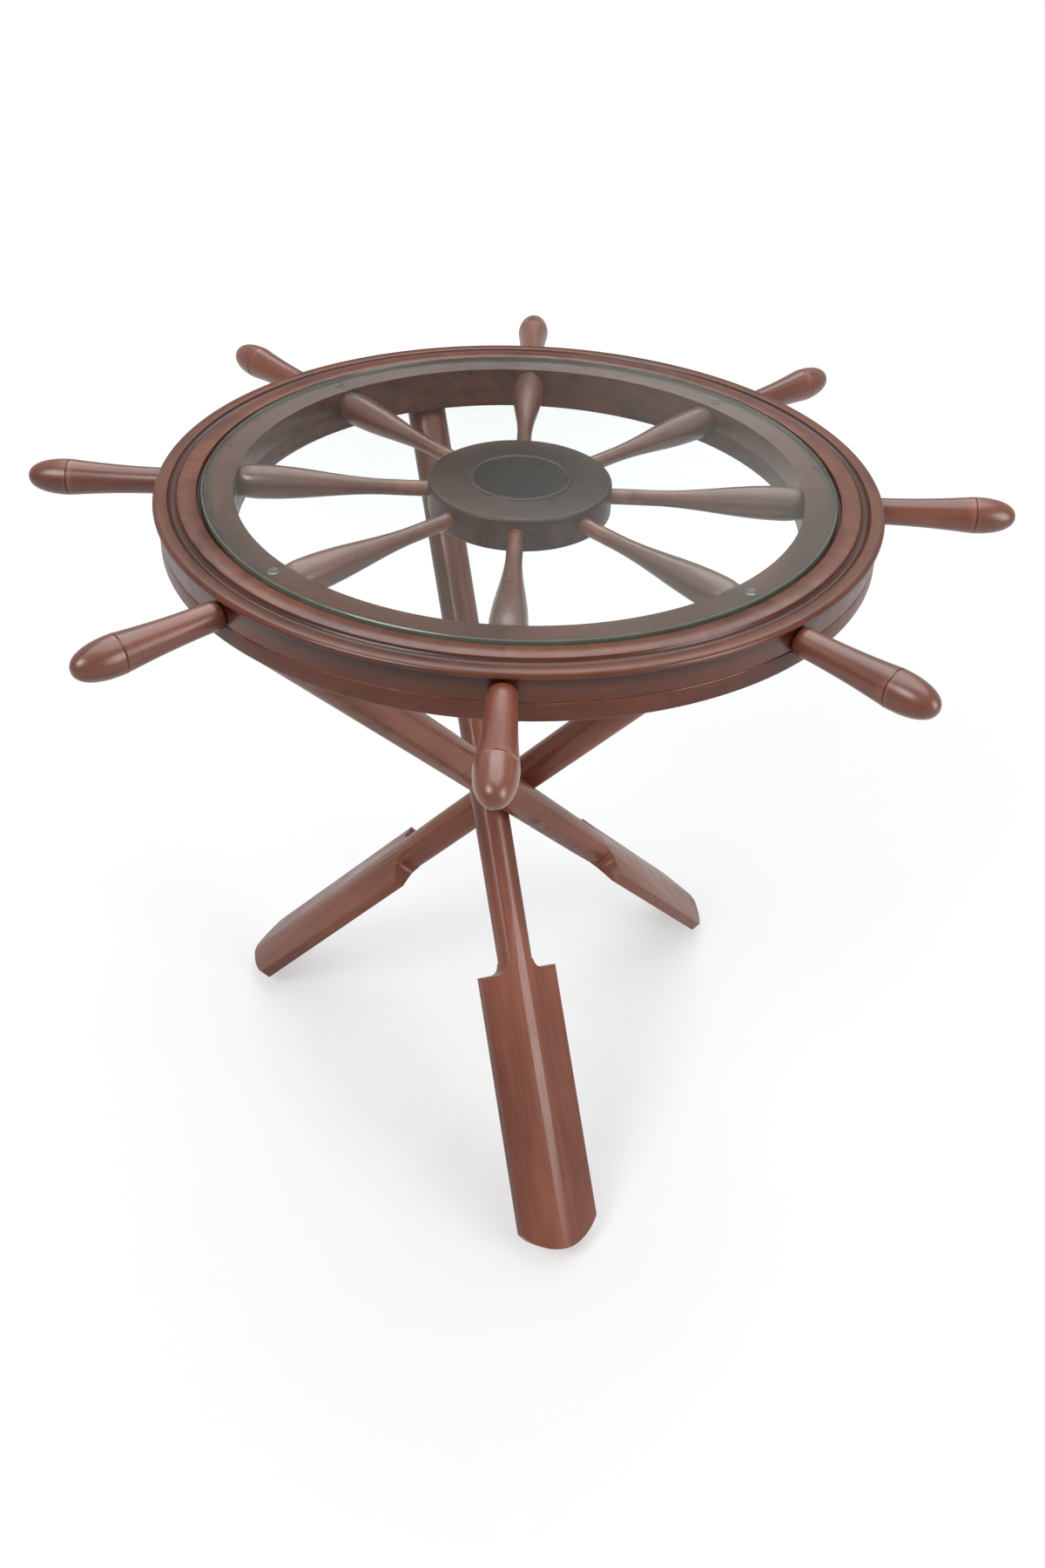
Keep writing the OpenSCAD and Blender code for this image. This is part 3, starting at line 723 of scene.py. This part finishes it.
def glass_sheet():
    """A round sheet with a narrow bevel ground on both edges."""
    clear_selection()
    bpy.ops.mesh.primitive_cylinder_add(vertices=256, radius=GLASS_R * MM, depth=GLASS_T * MM,
        location=point(0, 0, GLASS_LOW + GLASS_T / 2))
    sheet = bpy.context.object
    bpy.ops.object.mode_set(mode="EDIT")
    pick_faces(sheet, lambda middle, normal: abs(normal.z) > LEVEL)
    bpy.ops.mesh.region_to_loop()
    bpy.ops.mesh.bevel(offset=GLASS_BEVEL * MM, segments=1, affect="EDGES")
    sheet = close_mesh("glass_sheet")
    smooth(sheet, 20)
    paint(sheet, GLASS)
    sheet.data.materials.append(GLASS_EDGE)
    for face in sheet.data.polygons:
        face.material_index = 0 if abs(face.normal.z) > LEVEL else 1
    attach(sheet, "glass")
    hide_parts("glass_top")


def pick_faces(piece, test):
    """Selects only the faces whose middle and normal pass the test."""
    bpy.ops.mesh.select_mode(type="FACE")
    bpy.ops.mesh.select_all(action="DESELECT")
    bpy.ops.object.mode_set(mode="OBJECT")
    for face in piece.data.polygons:
        face.select = test(face.center, face.normal)
    bpy.ops.object.mode_set(mode="EDIT")


# Oars

def blade_blank():
    """The blade's outline sawn from the board, then its four faces planed from the ridge down to the edges."""
    half = BLADE_W / 2
    tip = degrees(atan(half / sqrt(BLADE_END_R ** 2 - half ** 2)))
    side = NECK_W / 2 + SHOULDER_R
    end = arc(0, BLADE_END_R, BLADE_END_R, -90 - tip, -90 + tip, 30)
    hollow = arc(side, BLADE_L + SHOULDER_R, SHOULDER_R, 270, 180, 8)
    right = [(half, BLADE_L)] + hollow
    left = [(-x, z) for x, z in reversed(right)]
    draw_outline([point(x, -BLADE_RIDGE_T / 2, z) for x, z in end + right + left + end[:1]])
    bpy.ops.mesh.remove_doubles(threshold=SAME_CORNER)
    bpy.ops.mesh.edge_face_add()
    bpy.ops.mesh.extrude_region_move(TRANSFORM_OT_translate={"value": point(0, BLADE_RIDGE_T, 0)})
    fall = (BLADE_RIDGE_T - BLADE_EDGE_T) / (BLADE_W - RIDGE_FLAT_W)
    for side_x in (-1, 1):
        for side_y in (-1, 1):
            saw(point(side_x * RIDGE_FLAT_W / 2, side_y * BLADE_RIDGE_T / 2, 0), (side_x * fall, side_y, 0))
    return close_mesh("oar_blade")


def loom_blank():
    """The tapered round loom, with flats planed on it where the blade's faces run out."""
    past = LOOM_TOP_D
    length = OAR_L - BLADE_L
    top_r = LOOM_TOP_D / 2 + (LOOM_TOP_D - LOOM_BLADE_D) / 2 / length * past
    clear_selection()
    bpy.ops.mesh.primitive_cone_add(vertices=96, radius1=LOOM_BLADE_D / 2 * MM, radius2=top_r * MM,
        depth=(length + past) * MM, location=point(0, 0, BLADE_L + (length + past) / 2))
    bpy.ops.object.mode_set(mode="EDIT")
    pick_faces(bpy.context.object, lambda middle, normal: normal.z < -LEVEL)
    bpy.ops.mesh.extrude_region_move(TRANSFORM_OT_translate={"value": point(0, 0, -NECK_OVERLAP)})
    slope = atan((BLADE_RIDGE_T - BLADE_EDGE_T) / (BLADE_W - RIDGE_FLAT_W))
    slanted = (BLADE_RIDGE_T / 2 + tan(slope) * RIDGE_FLAT_W / 2) * cos(slope)
    for face in (0, pi):
        for side in (-1, 0, 1):
            away = slanted if side else BLADE_RIDGE_T / 2
            turn = face + side * slope
            rise = (LOOM_BLADE_D / 2 - away) / LOOM_FLAT_L
            out = Vector((-sin(turn), cos(turn), 0))
            saw(out * away * MM + point(0, 0, BLADE_L), out - Vector((0, 0, rise)))
    return close_mesh("oar_loom")


def oars():
    """One oar shaped upright, then copied, leant into place with its blade's own turn, and sawn and drilled there."""
    blank = blade_blank()
    combine(blank, loom_blank(), "UNION")
    soften(blank, OAR_SOFTENING, segments=3)
    lay_board(blank, Matrix.Identity(3), (0.12, 0.4, 0.2))
    lean = (Matrix.Translation(point(*FOOT_POINT)) @ Matrix.Rotation(radians(OAR_HEADING + 90), 4, "Z")
        @ Matrix.Rotation(radians(90 - OAR_PITCH), 4, "X"))
    for number, roll in enumerate(BLADE_ROLLS, 1):
        make_active(blank)
        bpy.ops.object.duplicate(linked=False)
        oar = bpy.context.object
        shift_board(oar, number)
        turn = Matrix.Rotation(2 * pi * (number - 1) / OAR_COUNT, 4, "Z")
        oar.matrix_world = turn @ lean @ Matrix.Rotation(radians(roll), 4, "Z")
        bpy.ops.object.transform_apply(location=True, rotation=True, scale=True)
        bpy.ops.object.mode_set(mode="EDIT")
        saw(point(0, 0, RIM_BOTTOM - SEAT_GAP), (0, 0, 1))
        saw((0, 0, 0), (0, 0, -1))
        oar = close_mesh(f"oar_piece_{number}")
        combine(oar, plug_drill(turn), "DIFFERENCE")
        smooth(oar, 30)
        crease_planes(oar, atan((BLADE_RIDGE_T - BLADE_EDGE_T) / (BLADE_W - RIDGE_FLAT_W)))
        place_piece(oar, "frame", f"oar_{number}", OAR_WOOD)
    bpy.data.objects.remove(blank)


def plug_drill(turn):
    """The drill for the plug's hole on the loom's outer side at its crossing."""
    out = turn @ Vector(CROSSING_DIR)
    clear_selection()
    bpy.ops.mesh.primitive_cylinder_add(vertices=48, radius=PLUG_D / 2 * MM, depth=LOOM_TOP_D * MM,
        location=(turn @ Vector(CROSSING) + out * (PLUG_T - LOOM_CROSS_R - LOOM_TOP_D / 2)) * MM,
        rotation=out.to_track_quat("Z", "Y").to_euler())
    return bpy.context.object


upper_rim()
lower_rim()
hub_plates()
hub_cap()
spokes()
handles()
glass_sheet()
oars()

paint(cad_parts["glass_bumpers"], CLEAR_PAD)
paint(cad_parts["oar_dowels"], DOWEL_WOOD)
paint(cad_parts["crossing_screws"], SCREW_STEEL)
paint(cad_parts["crossing_plugs"], PLUG_WOOD)


# Studio

def shown_level(tree, low, mirrored, high):
    """Low for the light that a surface gives, mirrored in the lacquer, high to the camera and through the glass."""
    rays = node(tree, "ShaderNodeLightPath")
    shown = math(tree, "MAXIMUM", rays.outputs["Is Camera Ray"], rays.outputs["Is Transmission Ray"])
    level = spread(tree, shown, 0.0, 1.0, low, high)
    return math(tree, "MULTIPLY_ADD", rays.outputs["Is Glossy Ray"], mirrored - low, level)


def studio_floor():
    clear_selection()
    bpy.ops.mesh.primitive_plane_add(size=60, location=(0, 0, 0))
    floor = bpy.context.object
    floor.name = "studio_floor"
    material, tree, shader = new_material("White studio floor")
    shader.inputs["Base Color"].default_value = (0.5, 0.5, 0.5, 1)
    shader.inputs["Roughness"].default_value = 0.9
    shader.inputs["Specular IOR Level"].default_value = 0.0
    shader.inputs["Emission Color"].default_value = (1, 1, 1, 1)
    reach = node(tree, "ShaderNodeVectorMath", operation="LENGTH")
    link(tree, object_place(tree), reach.inputs[0])
    lift = spread(tree, reach.outputs["Value"], 0.6, 4.5, 0.48, 0.9)
    link(tree, math(tree, "MULTIPLY", shown_level(tree, 0.0, 0.3, 1.0), lift), shader.inputs["Emission Strength"])
    floor.data.materials.append(material)


def studio_world():
    world = bpy.data.worlds.new("Soft studio")
    bpy.context.scene.world = world
    world.use_nodes = True
    tree = world.node_tree
    background = tree.nodes["Background"]
    background.inputs["Color"].default_value = (1, 1, 1, 1)
    link(tree, shown_level(tree, 0.3, 0.5, 1.0), background.inputs["Strength"])


def glowing_reflection_card():
    """A glowing card behind the table, there only to be mirrored, a painted reflection: its glow is weak in the
    middle and stronger at its sides and top.
    """
    clear_selection()
    bpy.ops.mesh.primitive_plane_add(size=1, location=(0, 8, 3.9), rotation=(pi / 2, 0, 0))
    card = bpy.context.object
    card.name = "glowing_reflection_card"
    card.scale = (14, 4.6, 1)
    bpy.ops.object.transform_apply(location=True, rotation=True, scale=True)
    material, tree, shader = new_material("Glowing reflection card")
    parts = node(tree, "ShaderNodeSeparateXYZ")
    link(tree, object_place(tree), parts.inputs[0])
    off_dark = math(tree, "ABSOLUTE", math(tree, "ADD", parts.outputs["X"], 0.8))
    side = spread(tree, off_dark, 0.4, 2.4, 0.0, 0.3)
    height = spread(tree, parts.outputs["Z"], 4.2, 6.0, 0.09, 0.4)
    shader.inputs["Base Color"].default_value = (0, 0, 0, 1)
    shader.inputs["Specular IOR Level"].default_value = 0.0
    shader.inputs["Emission Color"].default_value = (0.84, 1.0, 0.96, 1)
    link(tree, math(tree, "ADD", side, height), shader.inputs["Emission Strength"])
    card.data.materials.append(material)
    card.visible_camera = False
    card.visible_diffuse = False
    card.visible_shadow = False


def soft_box(name, place, aim, size, power, colour):
    lamp = bpy.data.lights.new(name, "AREA")
    lamp.shape = "RECTANGLE"
    lamp.size, lamp.size_y = size
    lamp.energy = power
    lamp.color = colour
    holder = bpy.data.objects.new(name, lamp)
    bpy.context.scene.collection.objects.link(holder)
    holder.location = place
    holder.rotation_euler = (Vector(aim) - Vector(place)).to_track_quat("-Z", "Y").to_euler()


def camera():
    lens = bpy.data.cameras.new("Photograph")
    lens.lens = 34.155
    lens.sensor_width = 36
    lens.shift_x = 0.00136
    lens.shift_y = -0.08342
    lens.clip_start = 0.05
    lens.clip_end = 100
    seat = bpy.data.objects.new("Photograph", lens)
    bpy.context.scene.collection.objects.link(seat)
    seat.location = (0.0314, -1.3115, 1.3927)
    seat.rotation_euler = Euler((radians(57.309), radians(-1.63), radians(2.151)))
    bpy.context.scene.camera = seat


studio_floor()
studio_world()
glowing_reflection_card()
soft_box("Sky panel", (0.1, 0.5, 3.2), (0, 0.1, 0.75), (3.0, 2.2), 50, (0.94, 0.98, 1.0))
soft_box("Back panel", (0, 4.5, 5.0), (0, 0, 0.75), (5.0, 1.8), 72, (0.94, 0.98, 1.0))
soft_box("Key light", (-1.6, -1.6, 2.6), (0, 0, 0.5), (1.4, 1.2), 40, (1.0, 0.98, 0.96))
soft_box("Side panel", (2.3, -1.45, 1.3), (0.05, -0.3, 0.2), (1.2, 1.8), 34, (1.0, 0.98, 0.97))
camera()
bpy.context.scene.view_settings.view_transform = "Standard"
